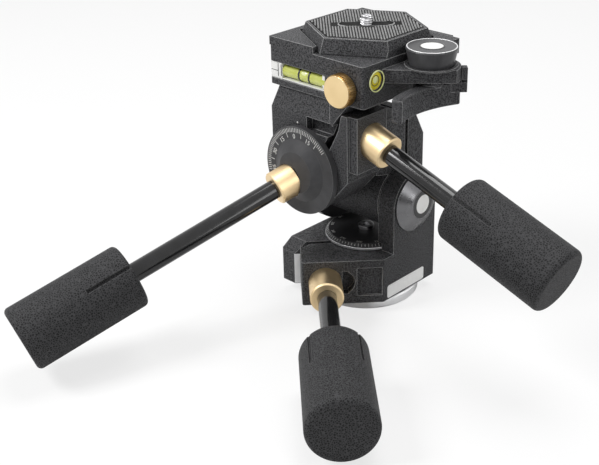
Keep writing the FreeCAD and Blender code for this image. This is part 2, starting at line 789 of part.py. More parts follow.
def plate_lever():
    centre = V(lever_x, lever_y, lever_z)
    hub = cylinder(centre, V(0, 0, 1), lever_hub_radius, lever_height)
    tab_in = lug_radius + face_gap
    tab = block((lever_x - tab_half_width, lever_x + tab_half_width),
                (lever_y + lever_hub_radius - 1, lever_y + tab_in + tab_thickness),
                (lever_z + lever_height / 2, tab_top_z))
    tab = tab.cut(cylinder(V(lever_x, lever_y, lug_bottom_z - face_gap), V(0, 0, 1), tab_in, lug_thickness))
    tab.rotate(centre, V(0, 0, 1), -tab_angle)
    body = hub.fuse(lever_arm()).fuse(tab).removeSplitter()
    body = body.cut(cylinder(centre, V(0, 0, 1), lever_pin_radius, lever_height))
    room = ring(centre + V(0, 0, lever_height / 2), V(0, 0, 1), spring_coil_radius + spring_wire_width,
                lever_pin_radius, lever_height / 2)
    return body.cut(room)


def lever_pivot():
    return cylinder(V(lever_x, lever_y, lever_z), V(0, 0, 1), lever_pin_radius, lever_cap_z - lever_z)


def lever_spring():
    # wound from square wire
    helix = Part.makeHelix(spring_pitch, spring_pitch * spring_turns, spring_coil_radius)
    half = spring_wire_width / 2
    near = spring_coil_radius - half
    far = spring_coil_radius + half
    corners = [V(near, 0, -half), V(far, 0, -half), V(far, 0, half), V(near, 0, half), V(near, 0, -half)]
    coil = Part.Wire(helix).makePipeShell([Part.makePolygon(corners)], True, True)
    coil.translate(V(lever_x, lever_y, lever_z + lever_height / 2 + half + face_gap))
    return coil


def lever_cap():
    start = V(lever_x, lever_y, lever_cap_z)
    cap = cone(start, V(0, 0, 1), lever_cap_foot_radius, lever_cap_radius, lever_cap_height)
    top = [e for e in cap.Edges if isinstance(e.Curve, Part.Circle)
           and e.CenterOfMass.z > lever_cap_z + lever_cap_height / 2]
    cap = cap.makeChamfer(lever_cap_bevel, top)
    recess = start + V(0, 0, lever_cap_height - cap_recess)
    return cap.cut(cylinder(recess, V(0, 0, 1), cap_dot_radius, cap_recess))


def lever_cap_insert():
    start = V(lever_x, lever_y, lever_cap_z + lever_cap_height - cap_recess)
    return cylinder(start, V(0, 0, 1), cap_dot_radius, cap_recess)


# Handles: a brass collar on the casting, a rod that runs on inside as the clamp stud, and a grip


def handle_collar(start, way, length):
    body = cylinder(start, way, collar_radius, length)
    end = [e for e in body.Edges if isinstance(e.Curve, Part.Circle)
           and (e.CenterOfMass - start).dot(way) > length / 2]
    body = body.makeChamfer(collar_lip, end)
    return body.cut(cylinder(start, way, rod_radius, length))


def handle_rod(start, way, length, stud_length):
    # inside the casting the rod is turned down to the clamp stud
    rod = cylinder(start, way, rod_radius, length + grip_socket)
    return rod.fuse(cylinder(start - way * stud_length, way, stud_radius, stud_length))


def handle_grip(start, way):
    grip = cylinder(start, way, grip_radius, grip_length)
    rims = [e for e in grip.Edges if isinstance(e.Curve, Part.Circle)]
    grip = grip.makeFillet(grip_round, rims)
    across = way.cross(V(0, 0, 1)).normalize()
    up = across.cross(way)
    for i in range(groove_count):
        a = 2 * math.pi * (i + 0.5) / groove_count
        out = across * math.cos(a) + up * math.sin(a)
        along = way.cross(out)
        corner = start + out * (grip_radius - groove_depth) - along * (groove_width / 2) - way
        outward = out * 3 * groove_depth
        points = [corner, corner + along * groove_width, corner + along * groove_width + outward,
                  corner + outward]
        grip = grip.cut(prism(points, way * (groove_length + 1)))
    return grip.cut(cylinder(start, way, rod_radius, grip_socket))


def save_handle(name, start, way, collar_length, rod_length, stud_length):
    save(name + "_collar", handle_collar(start, way, collar_length))
    save(name + "_rod", handle_rod(start, way, collar_length + rod_length, stud_length))
    save(name + "_grip", handle_grip(start + way * (collar_length + rod_length), way))


for piece in (base_disc, tripod_bush, pan_post, pan_washer, pan_scale_disc, post_screw, pan_body, tilt_axle,
              tilt_end_plate, tilt_plate_screw, tilt_end_cap, tilt_cap_ring, tilt_cap_insert, tilt_washer,
              tilt_body, lateral_axle, lateral_dial, platform, tube_vial, vial_block, vial_rings,
              round_vial_case, round_vial_lens, safety_knob, quick_plate, plate_pad, camera_screw,
              plate_lever, lever_pivot, lever_spring, lever_cap, lever_cap_insert):
    save(piece.__name__, piece())

save_handle("pan", pan_handle_start + pan_handle_way * thrust_gap, pan_handle_way, pan_collar_length,
            pan_rod_length, pan_stud_length)
save_handle("tilt", tilt_handle_start + tilt_handle_way * thrust_gap, tilt_handle_way, tilt_collar_length,
            tilt_rod_length, tilt_stud_length)
save_handle("lateral", lateral_handle_start - lateral_handle_way * (collar_seat - thrust_gap),
            lateral_handle_way, lateral_collar_length + collar_seat, lateral_rod_length,
            lateral_stud_length - collar_seat)
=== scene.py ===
import math

import bmesh
import bpy
from mathutils import Matrix, Vector


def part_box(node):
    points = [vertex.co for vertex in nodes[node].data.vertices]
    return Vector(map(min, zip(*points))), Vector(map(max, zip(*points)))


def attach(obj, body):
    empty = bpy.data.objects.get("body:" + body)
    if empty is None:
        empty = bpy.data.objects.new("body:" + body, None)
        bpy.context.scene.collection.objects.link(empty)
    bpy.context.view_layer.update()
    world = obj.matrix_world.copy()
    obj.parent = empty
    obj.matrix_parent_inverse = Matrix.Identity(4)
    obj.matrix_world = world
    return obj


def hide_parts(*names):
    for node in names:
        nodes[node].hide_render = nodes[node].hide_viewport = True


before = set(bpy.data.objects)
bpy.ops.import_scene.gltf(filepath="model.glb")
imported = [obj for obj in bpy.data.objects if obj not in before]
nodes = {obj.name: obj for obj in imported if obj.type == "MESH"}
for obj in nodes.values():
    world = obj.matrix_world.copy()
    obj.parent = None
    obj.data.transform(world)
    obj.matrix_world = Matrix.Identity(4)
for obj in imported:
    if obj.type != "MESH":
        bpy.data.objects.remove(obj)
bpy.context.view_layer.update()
scene = bpy.context.scene
scene.view_settings.view_transform = "Standard"


# The studio: a pale floor, soft daylight from above and a camera at the photograph's angle.
# The lens is long, and the frame is shifted a little as a cropped product picture is.
azimuth, elevation, roll = math.radians(42.2), math.radians(25.81), math.radians(-0.35)
camera_place = (0.3711, -0.4234, 0.3145)
picture_width, picture_height = 599, 465
focal_length, centre_across, centre_down = 1101.6, 349.3, 218.0
camera_data = bpy.data.cameras.new("camera")
camera_data.sensor_width = 36.0
camera_data.lens = focal_length / picture_width * camera_data.sensor_width
camera_data.shift_x = (picture_width / 2 - centre_across) / picture_width
camera_data.shift_y = (centre_down - picture_height / 2) / picture_width
camera_data.clip_start = 0.01
camera_data.clip_end = 20.0
camera = bpy.data.objects.new("camera", camera_data)
scene.collection.objects.link(camera)
scene.camera = camera
back = Vector((math.sin(azimuth) * math.cos(elevation), -math.cos(azimuth) * math.cos(elevation),
               math.sin(elevation)))
level = Vector((math.cos(azimuth), math.sin(azimuth), 0.0))
upright = back.cross(level)
turned = Matrix((level, upright, back)).transposed() @ Matrix.Rotation(roll, 3, "Z")
camera.matrix_world = Matrix.Translation(camera_place) @ turned.to_4x4()

world = bpy.data.worlds.new("studio_white")
world.use_nodes = True
scene.world = world
sky = world.node_tree
sky.nodes.clear()
sky_out = sky.nodes.new("ShaderNodeOutputWorld")
sky_mix = sky.nodes.new("ShaderNodeMixShader")
soft_fill = sky.nodes.new("ShaderNodeBackground")
soft_fill.inputs["Color"].default_value = (1.0, 1.0, 1.0, 1.0)
soft_fill.inputs["Strength"].default_value = 0.17
white_wall = sky.nodes.new("ShaderNodeBackground")
white_wall.inputs["Color"].default_value = (1.0, 1.0, 1.0, 1.0)
white_wall.inputs["Strength"].default_value = 1.0
sky_rays = sky.nodes.new("ShaderNodeLightPath")
seen = sky.nodes.new("ShaderNodeMath")
seen.operation = "MAXIMUM"
seen_too = sky.nodes.new("ShaderNodeMath")
seen_too.operation = "MAXIMUM"
sky.links.new(sky_rays.outputs["Is Camera Ray"], seen.inputs[0])
sky.links.new(sky_rays.outputs["Is Transmission Ray"], seen.inputs[1])
sky.links.new(seen.outputs[0], seen_too.inputs[0])
sky.links.new(sky_rays.outputs["Is Glossy Ray"], seen_too.inputs[1])
sky.links.new(seen_too.outputs[0], sky_mix.inputs["Fac"])
sky.links.new(soft_fill.outputs[0], sky_mix.inputs[1])
sky.links.new(white_wall.outputs[0], sky_mix.inputs[2])
sky.links.new(sky_mix.outputs[0], sky_out.inputs["Surface"])


def add_softbox(name, place, aim, size, power):
    lamp = bpy.data.lights.new(name, "AREA")
    lamp.shape = "RECTANGLE"
    lamp.size, lamp.size_y = size
    lamp.energy = power
    box = bpy.data.objects.new(name, lamp)
    scene.collection.objects.link(box)
    box.location = place
    box.rotation_mode = "QUATERNION"
    box.rotation_quaternion = (Vector(aim) - Vector(place)).to_track_quat("-Z", "Y")


head_middle = (0.0, 0.0, 0.08)
add_softbox("key_softbox", (-0.45, -0.75, 0.95), head_middle, (0.45, 0.45), 11.0)
add_softbox("right_softbox", (1.1, -0.1, 0.45), head_middle, (0.3, 0.7), 2.6)
add_softbox("top_softbox", (0.0, 0.25, 1.2), (0.0, 0.0, 0.1), (0.7, 0.7), 9.0)

floor_mesh = bmesh.new()
bmesh.ops.create_grid(floor_mesh, x_segments=2, y_segments=2, size=3.0)
floor_data = bpy.data.meshes.new("floor")
floor_mesh.to_mesh(floor_data)
floor_mesh.free()
floor = bpy.data.objects.new("floor", floor_data)
scene.collection.objects.link(floor)
floor_paint = bpy.data.materials.new("pale_floor")
floor_paint.use_nodes = True
paint = floor_paint.node_tree
paint.nodes["Principled BSDF"].inputs["Base Color"].default_value = (0.86, 0.86, 0.86, 1.0)
paint.nodes["Principled BSDF"].inputs["Roughness"].default_value = 0.9
paper_glow = paint.nodes.new("ShaderNodeEmission")
paper_glow.inputs["Strength"].default_value = 1.0
paper_rays = paint.nodes.new("ShaderNodeLightPath")
paper_share = paint.nodes.new("ShaderNodeMath")
paper_share.operation = "MULTIPLY"
paper_share.inputs[1].default_value = 0.75
paper_mix = paint.nodes.new("ShaderNodeMixShader")
paint.links.new(paper_rays.outputs["Is Camera Ray"], paper_share.inputs[0])
paint.links.new(paper_share.outputs[0], paper_mix.inputs["Fac"])
paint.links.new(paint.nodes["Principled BSDF"].outputs[0], paper_mix.inputs[1])
paint.links.new(paper_glow.outputs[0], paper_mix.inputs[2])
paint.links.new(paper_mix.outputs[0], paint.nodes["Material Output"].inputs["Surface"])
floor_data.materials.append(floor_paint)


# Base: a turned and satin anodised aluminium disc with a brass thread bush pressed into it.
# The steel pan post stands in it, between a brass washer and the dark graduated scale disc.
def new_effect(name, inputs, outputs):
    group = bpy.data.node_groups.new(name, "ShaderNodeTree")
    for label, value in inputs.items():
        socket = group.interface.new_socket(label, in_out="INPUT", socket_type="NodeSocketFloat")
        socket.default_value = value
    for label, kind in outputs.items():
        group.interface.new_socket(label, in_out="OUTPUT", socket_type=kind)
    return group, group.nodes.new("NodeGroupInput"), group.nodes.new("NodeGroupOutput")


def place_effect(tree, group, **values):
    node = tree.nodes.new("ShaderNodeGroup")
    node.node_tree = group
    for label, value in values.items():
        node.inputs[label].default_value = value
    return node


def new_finish(name, metallic=0.0, roughness=0.5, coat=0.0):
    material = bpy.data.materials.new(name)
    material.use_nodes = True
    shader = material.node_tree.nodes["Principled BSDF"]
    shader.inputs["Metallic"].default_value = metallic
    shader.inputs["Roughness"].default_value = roughness
    shader.inputs["Coat Weight"].default_value = coat
    return material, material.node_tree, shader


def blend_colours(tree, mask, first, second):
    mix = tree.nodes.new("ShaderNodeMix")
    mix.data_type = "RGBA"
    for socket, colour in ((mix.inputs[6], first), (mix.inputs[7], second)):
        if isinstance(colour, tuple):
            socket.default_value = (*colour, 1.0)
        else:
            tree.links.new(colour, socket)
    tree.links.new(mask, mix.inputs[0])
    return mix.outputs[2]


def spread(tree, mask, low, high):
    ranged = tree.nodes.new("ShaderNodeMapRange")
    ranged.inputs["To Min"].default_value = low
    ranged.inputs["To Max"].default_value = high
    tree.links.new(mask, ranged.inputs["Value"])
    return ranged.outputs[0]


def add_bump(tree, shader, height, strength, distance, under=None):
    bump = tree.nodes.new("ShaderNodeBump")
    bump.inputs["Strength"].default_value = strength
    bump.inputs["Distance"].default_value = distance
    tree.links.new(height, bump.inputs["Height"])
    if under:
        tree.links.new(under, bump.inputs["Normal"])
    tree.links.new(bump.outputs[0], shader.inputs["Normal"])


# edges: a mask along corners, used to lighten them as wear and as a painted highlight, and normals that
# round them as casting and handling do
edges, edges_in, edges_out = new_effect(
    "edges_worn_and_lit", {"Radius": 0.0008, "Spread": 0.25},
    {"Mask": "NodeSocketFloat", "Normal": "NodeSocketVector"})
rounded = edges.nodes.new("ShaderNodeBevel")
rounded.samples = 6
flat = edges.nodes.new("ShaderNodeNewGeometry")
agree = edges.nodes.new("ShaderNodeVectorMath")
agree.operation = "DOT_PRODUCT"
corner = edges.nodes.new("ShaderNodeMapRange")
corner.inputs["From Min"].default_value = 1.0
corner.inputs["To Min"].default_value = 0.0
corner.inputs["To Max"].default_value = 1.0
reach = edges.nodes.new("ShaderNodeMath")
reach.operation = "SUBTRACT"
reach.inputs[0].default_value = 1.0
edges.links.new(edges_in.outputs["Radius"], rounded.inputs["Radius"])
edges.links.new(rounded.outputs[0], agree.inputs[0])
edges.links.new(flat.outputs["Normal"], agree.inputs[1])
edges.links.new(agree.outputs["Value"], corner.inputs["Value"])
edges.links.new(edges_in.outputs["Spread"], reach.inputs[1])
edges.links.new(reach.outputs[0], corner.inputs["From Max"])
edges.links.new(corner.outputs[0], edges_out.inputs["Mask"])
edges.links.new(rounded.outputs[0], edges_out.inputs["Normal"])

# grain: fine noise on the object's own coordinates, for powder coat, rubber and cloudy wear
grain, grain_in, grain_out = new_effect(
    "fine_grain", {"Scale": 900.0, "Detail": 2.0, "Contrast": 0.5},
    {"Mask": "NodeSocketFloat"})
grain_place = grain.nodes.new("ShaderNodeTexCoord")
grain_noise = grain.nodes.new("ShaderNodeTexNoise")
grain_half = grain.nodes.new("ShaderNodeMath")
grain_half.operation = "MULTIPLY"
grain_half.inputs[1].default_value = 0.5
grain_low = grain.nodes.new("ShaderNodeMath")
grain_low.operation = "SUBTRACT"
grain_low.inputs[0].default_value = 0.5
grain_high = grain.nodes.new("ShaderNodeMath")
grain_high.operation = "ADD"
grain_high.inputs[0].default_value = 0.5
grain_range = grain.nodes.new("ShaderNodeMapRange")
grain.links.new(grain_place.outputs["Object"], grain_noise.inputs["Vector"])
grain.links.new(grain_in.outputs["Scale"], grain_noise.inputs["Scale"])
grain.links.new(grain_in.outputs["Detail"], grain_noise.inputs["Detail"])
grain.links.new(grain_in.outputs["Contrast"], grain_half.inputs[0])
grain.links.new(grain_half.outputs[0], grain_low.inputs[1])
grain.links.new(grain_half.outputs[0], grain_high.inputs[1])
grain.links.new(grain_noise.outputs["Fac"], grain_range.inputs["Value"])
grain.links.new(grain_low.outputs[0], grain_range.inputs["From Min"])
grain.links.new(grain_high.outputs[0], grain_range.inputs["From Max"])
grain.links.new(grain_range.outputs[0], grain_out.inputs["Mask"])


def turned_metal(name, colour, dark, centre, axis, roughness=0.3, pitch=2600.0, metallic=1.0):
    # lathe rings run round the piece's own axis, with a cloud of handling over them
    material, tree, shader = new_finish(name, metallic, roughness)
    place = tree.nodes.new("ShaderNodeTexCoord")
    settle = tree.nodes.new("ShaderNodeMapping")
    settle.vector_type = "TEXTURE"
    settle.inputs["Location"].default_value = centre
    settle.inputs["Rotation"].default_value = Vector(axis).to_track_quat("Z", "Y").to_euler()
    tree.links.new(place.outputs["Object"], settle.inputs["Vector"])
    rings = tree.nodes.new("ShaderNodeTexWave")
    rings.wave_type = "RINGS"
    rings.rings_direction = "SPHERICAL"
    rings.inputs["Scale"].default_value = pitch / 4
    rings.inputs["Distortion"].default_value = 1.5
    rings.inputs["Detail"].default_value = 1.0
    tree.links.new(settle.outputs[0], rings.inputs["Vector"])
    cloud = place_effect(tree, grain, Scale=90.0, Detail=3.0, Contrast=0.6)
    edge_wear_and_sheen = place_effect(tree, edges, Radius=0.0004, Spread=0.3)
    tone = blend_colours(tree, spread(tree, cloud.outputs[0], 0.0, 0.45), colour, dark)
    # the corners are lightened towards a paler copy of the colour: edge wear and a painted highlight
    bright = tuple(min(1.0, value * 1.25 + 0.05) for value in colour)
    tone = blend_colours(tree, spread(tree, edge_wear_and_sheen.outputs["Mask"], 0.0, 0.7), tone, bright)
    tree.links.new(tone, shader.inputs["Base Color"])
    tree.links.new(spread(tree, cloud.outputs[0], roughness * 0.8, roughness * 1.25),
                   shader.inputs["Roughness"])
    add_bump(tree, shader, rings.outputs["Fac"], 0.15, 0.00006, edge_wear_and_sheen.outputs["Normal"])
    return material


def dress(material, *names):
    for name in names:
        slots = nodes[name].data.materials
        slots.clear()
        slots.append(material)


pan_axis = ((0, 0, 0), (0, 0, 1))
brass_tone, brass_dark = (0.80, 0.60, 0.28), (0.55, 0.38, 0.15)
steel_tone, steel_dark = (0.50, 0.50, 0.51), (0.30, 0.30, 0.31)
silver = turned_metal("satin_silver", (0.90, 0.90, 0.91), (0.72, 0.72, 0.73), *pan_axis, 0.42)
brass_bush = turned_metal("brass_bush", brass_tone, brass_dark, *pan_axis, 0.3)
post_steel = turned_metal("bright_steel", steel_tone, steel_dark, *pan_axis, 0.28)
dress(silver, "base_disc")
dress(brass_bush, "tripod_bush", "pan_washer")
dress(post_steel, "pan_post", "post_screw")


def satin_dark(name, colour=(0.040, 0.040, 0.042), roughness=0.42):
    material, tree, shader = new_finish(name, 0.0, roughness)
    shader.inputs["Specular IOR Level"].default_value = 0.2
    cloud = place_effect(tree, grain, Scale=220.0, Detail=3.0, Contrast=0.7)
    edge_wear_and_sheen = place_effect(tree, edges, Radius=0.0005, Spread=0.3)
    paler = tuple(value * 1.5 for value in colour)
    tone = blend_colours(tree, cloud.outputs[0], colour, paler)
    # the corners are lightened to grey: edge wear and a painted highlight
    rubbed_and_sheen_share = spread(tree, edge_wear_and_sheen.outputs["Mask"], 0.0, 0.8)
    tone = blend_colours(tree, rubbed_and_sheen_share, tone, (0.30, 0.30, 0.30))
    tree.links.new(tone, shader.inputs["Base Color"])
    fine = place_effect(tree, grain, Scale=2500.0, Detail=1.0, Contrast=0.6)
    add_bump(tree, shader, fine.outputs[0], 0.1, 0.00005, edge_wear_and_sheen.outputs["Normal"])
    return material


dial_coat = satin_dark("satin_dial")
dress(dial_coat, "pan_scale_disc", "lateral_dial")


def finish_piece(piece, material, body):
    scene.collection.objects.link(piece)
    piece.data.materials.clear()
    piece.data.materials.append(material)
    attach(piece, body)
    return piece


white_print, print_tree, print_shader = new_finish("white_print", 0.0, 0.5)
print_cloud = place_effect(print_tree, grain, Scale=1500.0, Detail=2.0, Contrast=0.5)
print_tone = blend_colours(print_tree, print_cloud.outputs[0], (0.80, 0.80, 0.78), (0.55, 0.55, 0.53))
print_tree.links.new(print_tone, print_shader.inputs["Base Color"])


def add_tick(mesh, place, width, length, turn):
    # one printed line: a thin plate, narrow across and long outwards, then turned into place
    made = bmesh.ops.create_cube(mesh, size=1.0)["verts"]
    bmesh.ops.scale(mesh, vec=(length, width, 0.00006), verts=made)
    bmesh.ops.translate(mesh, vec=(place, 0, 0), verts=made)
    bmesh.ops.transform(mesh, matrix=turn, verts=made)


def piece_from(mesh, name):
    data = bpy.data.meshes.new(name)
    mesh.to_mesh(data)
    mesh.free()
    return bpy.data.objects.new(name, data)


def add_figure(mesh, words, size, turn):
    # a plain number, filled flat, stood on its place on a scale
    curve = bpy.data.curves.new("figure", "FONT")
    curve.body = words
    curve.size = size
    curve.align_x = "CENTER"
    curve.align_y = "CENTER"
    curve.extrude = 0.00003
    writing = bpy.data.objects.new("figure", curve)
    data = bpy.data.meshes.new_from_object(writing)
    data.transform(turn)
    mesh.from_mesh(data)
    bpy.data.objects.remove(writing)
    bpy.data.curves.remove(curve)
    bpy.data.meshes.remove(data)


scale_low, scale_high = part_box("pan_scale_disc")
scale_radius = (scale_high[0] - scale_low[0]) / 2
scale_rise = scale_high[2] - scale_low[2]
bevel_slope = math.radians(45)
long_line, short_line, line_width = 0.0019, 0.0013, 0.00022
figure_height, figure_inset, print_lift = 0.0024, 0.0016, 0.00003
ticks = bmesh.new()
on_bevel = Matrix.Translation((scale_radius - scale_rise / 4, 0, scale_high[2] - scale_rise / 4))
on_bevel = on_bevel @ Matrix.Rotation(bevel_slope, 4, "Y")
for step in range(72):
    length = long_line if step % 3 == 0 else short_line
    around = Matrix.Rotation(math.radians(step * 5), 4, "Z")
    add_tick(ticks, 0, line_width, length, around @ on_bevel)
on_top = Matrix.Translation((scale_radius - scale_rise / 2 - figure_inset, 0, scale_high[2] + print_lift))
on_top = on_top @ Matrix.Rotation(math.radians(90), 4, "Z")
for number in range(12):
    around = Matrix.Rotation(math.radians(number * 30), 4, "Z")
    add_figure(ticks, str(number * 30), figure_height, around @ on_top)
finish_piece(piece_from(ticks, "pan_scale_marks"), white_print, "base")

# the bright line under the scale is taken to be the disc's foot, left as bare metal
rim_radius, rim_height = scale_radius + 0.00012, 0.0014
scale_rim = bmesh.new()
bmesh.ops.create_cone(scale_rim, cap_ends=True, segments=96, radius1=rim_radius, radius2=rim_radius,
                      depth=rim_height, matrix=Matrix.Translation((0, 0, scale_low[2] + 0.0008)))
rim_metal = turned_metal("scale_rim_metal", (0.90, 0.90, 0.91), (0.70, 0.70, 0.71), *pan_axis, 0.35)
finish_piece(piece_from(scale_rim, "pan_scale_rim"), rim_metal, "base")


# Pan body: a one piece aluminium casting, black powder coated, split on the left where the pan
# handle closes it round the post. A pale label plate with a thin rim sits low on the arm, left bare.
def powder_coat(name, edge_tone_for_wear_and_sheen):
    dark, pale = (0.004, 0.004, 0.0045), (0.085, 0.085, 0.089)
    material, tree, shader = new_finish(name, 0.0, 0.55)
    shader.inputs["Specular IOR Level"].default_value = 0.16
    speck = place_effect(tree, grain, Scale=1500.0, Detail=3.0, Contrast=0.22)
    cloud = place_effect(tree, grain, Scale=60.0, Detail=3.0, Contrast=0.7)
    edge_wear_and_sheen = place_effect(tree, edges, Radius=0.0006, Spread=0.30)
    tone = blend_colours(tree, speck.outputs[0], dark, pale)
    dusty = tuple(value * 1.2 for value in pale)
    tone = blend_colours(tree, spread(tree, cloud.outputs[0], 0.0, 0.25), tone, dusty)
    # the corners are lightened to the given edge colour: edge wear and a painted highlight
    tone = blend_colours(tree, spread(tree, edge_wear_and_sheen.outputs["Mask"], 0.0, 0.85), tone, edge_tone_for_wear_and_sheen)
    tree.links.new(tone, shader.inputs["Base Color"])
    tree.links.new(spread(tree, speck.outputs[0], 0.62, 0.36), shader.inputs["Roughness"])
    add_bump(tree, shader, speck.outputs[0], 0.7, 0.00018, edge_wear_and_sheen.outputs["Normal"])
    return material


casting_coat = powder_coat("black_powder_coat", (0.70, 0.70, 0.70))
dress(casting_coat, "pan_body", "tilt_body", "platform")

label_white, label_tree, label_shader = new_finish("label_plate_white", 0.0, 0.35)
label_cloud = place_effect(label_tree, grain, Scale=300.0, Detail=2.0, Contrast=0.6)
label_tone = blend_colours(label_tree, label_cloud.outputs[0], (0.94, 0.94, 0.93), (0.88, 0.88, 0.87))
label_tree.links.new(label_tone, label_shader.inputs["Base Color"])
label_thickness, label_width, label_height, label_corner = 0.0004, 0.0318, 0.0078, 0.0014
label_y, label_z = 0.0004, 0.01145
label = bmesh.new()
made = bmesh.ops.create_cube(label, size=1.0)["verts"]
bmesh.ops.scale(label, vec=(label_thickness, label_width, label_height), verts=made)
bmesh.ops.translate(label, vec=(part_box("pan_body")[1][0], label_y, label_z), verts=made)
corners = [e for e in label.edges if abs(e.verts[0].co.x - e.verts[1].co.x) > label_thickness / 2]
bmesh.ops.bevel(label, geom=corners, offset=label_corner, offset_type="OFFSET", segments=5, profile=0.5,
                affect="EDGES", material=-1)
finish_piece(piece_from(label, "arm_label_plate"), label_white, "pan_stage")

# the clamp's slit is sawn after coating, so the rear jaw's face is bare where the front jaw stops short
clamp_cos, clamp_sin = 0.7254, 0.6884
slit_place, slit_reach, slit_middle = 0.00850, 0.0392, 0.0162
slit_width, slit_height, slit_film = 0.0046, 0.0186, 0.00012
sawn = turned_metal("sawn_aluminium", (0.92, 0.92, 0.93), (0.70, 0.70, 0.71), (-0.0195, -0.0348, 0.016),
                    (clamp_cos, -clamp_sin, 0), 0.45, 4000.0)
slit_face = bmesh.new()
made = bmesh.ops.create_cube(slit_face, size=1.0)["verts"]
bmesh.ops.scale(slit_face, vec=(slit_film, slit_width, slit_height), verts=made)
bmesh.ops.rotate(slit_face, matrix=Matrix.Rotation(math.radians(-43.5), 3, "Z"), verts=made)
slit_x = slit_place * clamp_cos - slit_reach * clamp_sin
slit_y = -slit_place * clamp_sin - slit_reach * clamp_cos
bmesh.ops.translate(slit_face, vec=(slit_x, slit_y, slit_middle), verts=made)
finish_piece(piece_from(slit_face, "sawn_slit_face"), sawn, "pan_stage")


# Tilt axle and its ends: a steel axle pressed into the arm, a dark end plate with a screw on the
# left, and on the arm's face a turned silver cap with a dark ring and a bare white centre.
tilt_y, tilt_z = 0.0075, 0.059
axle_steel = turned_metal("axle_steel", steel_tone, steel_dark, (0, tilt_y, tilt_z), (1, 0, 0), 0.28)
# the silver cap is coloured dark grey: painted shade, standing for the dark reflections on it
cap_silver = turned_metal("cap_silver", (0.17, 0.17, 0.175), (0.11, 0.11, 0.115), (0.0293, tilt_y, tilt_z),
                          (1, 0, 0), 0.27)
dress(axle_steel, "tilt_axle", "tilt_plate_screw")
dress(cap_silver, "tilt_end_cap")
dress(dial_coat, "tilt_end_plate")


def moulded(name, colour, roughness=0.3, edge_tone_for_wear_and_sheen=None):
    material, tree, shader = new_finish(name, 0.0, roughness)
    cloud = place_effect(tree, grain, Scale=160.0, Detail=3.0, Contrast=0.6)
    edge_wear_and_sheen = place_effect(tree, edges, Radius=0.0005, Spread=0.3)
    other = tuple(value * 0.82 for value in colour)
    tone = blend_colours(tree, cloud.outputs[0], colour, other)
    if edge_tone_for_wear_and_sheen:
        # when an edge colour is given, the corners are lightened to it: edge wear and a painted highlight
        tone = blend_colours(tree, spread(tree, edge_wear_and_sheen.outputs["Mask"], 0.0, 0.7), tone, edge_tone_for_wear_and_sheen)
    tree.links.new(tone, shader.inputs["Base Color"])
    dullness = spread(tree, cloud.outputs[0], roughness * 0.85, roughness * 1.3)
    tree.links.new(dullness, shader.inputs["Roughness"])
    fine = place_effect(tree, grain, Scale=1800.0, Detail=1.0, Contrast=0.7)
    add_bump(tree, shader, fine.outputs[0], 0.06, 0.00004, edge_wear_and_sheen.outputs["Normal"])
    return material


black_moulding = moulded("black_moulding", (0.018, 0.018, 0.019), 0.35, (0.2, 0.2, 0.2))
white_moulding = moulded("white_moulding", (0.86, 0.86, 0.84), 0.35)
dress(black_moulding, "tilt_cap_ring", "round_vial_case", "vial_rings")
dress(white_moulding, "tilt_cap_insert", "vial_block", "lever_cap_insert")


# Tilt body: the second casting, with the same powder coat, a brass washer against the arm and the
# steel lateral axle pressed into its boss.
brass_washer = turned_metal("brass_washer", brass_tone, brass_dark, (0.0177, tilt_y, tilt_z),
                            (1, 0, 0), 0.3)
lateral_x, lateral_z = -0.0105, 0.082
lateral_steel = turned_metal("lateral_steel", steel_tone, steel_dark, (lateral_x, 0, lateral_z),
                             (0, 1, 0), 0.28)
dress(brass_washer, "tilt_washer")
dress(lateral_steel, "lateral_axle")


# Lateral dial: a satin dark disc with a flat graduated land round a shallow cone. The lines and
# numbers are printed in white.
dial_low, dial_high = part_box("lateral_dial")
dial_radius = (dial_high[2] - dial_low[2]) / 2
dial_face = -0.0419
long_mark, short_mark, mark_width, mark_edge = 0.0050, 0.0024, 0.00030, 0.0007
number_height, number_inset = 0.0036, 0.0054
dial_marks = bmesh.new()
facing = Matrix.Translation((lateral_x, dial_face - 0.00002, lateral_z))
facing = facing @ Matrix.Rotation(math.pi / 2, 4, "X")
for step in range(52):
    # the lines run every 3 degrees over the part of the face where the photograph shows them, and
    # the long ones stand mid-way between the numbers
    length = long_mark if step % 10 == 5 else short_mark
    spin = Matrix.Rotation(math.radians(40 + step * 3), 4, "Z")
    add_tick(dial_marks, dial_radius - mark_edge - length / 2, mark_width, length, facing @ spin)
for number in range(5):
    spin = Matrix.Rotation(math.radians(number * 30 - 20), 4, "Z")
    outward = Matrix.Translation((0, dial_radius - number_inset, print_lift))
    add_figure(dial_marks, str(abs(number - 1) * 15), number_height, facing @ spin @ outward)
finish_piece(piece_from(dial_marks, "lateral_dial_marks"), white_print, "tilt_stage")


def add_outline(mesh, points, low, high, rounding):
    # a flat piece of one outline, with its rims rounded over
    base = mesh.faces.new([mesh.verts.new((x, y, low)) for x, y in points])
    raised = bmesh.ops.extrude_face_region(mesh, geom=[base])["geom"]
    top = [v for v in raised if isinstance(v, bmesh.types.BMVert)]
    bmesh.ops.translate(mesh, vec=(0, 0, high - low), verts=top)
    bmesh.ops.recalc_face_normals(mesh, faces=list(mesh.faces))
    made = set(base.verts) | set(top)
    rims = [e for e in mesh.edges if e.verts[0] in made and e.verts[1] in made
            and abs(e.verts[0].co.z - e.verts[1].co.z) < 1e-6]
    bmesh.ops.bevel(mesh, geom=rims, offset=rounding, offset_type="OFFSET", segments=3, profile=0.5,
                    affect="EDGES", material=-1)


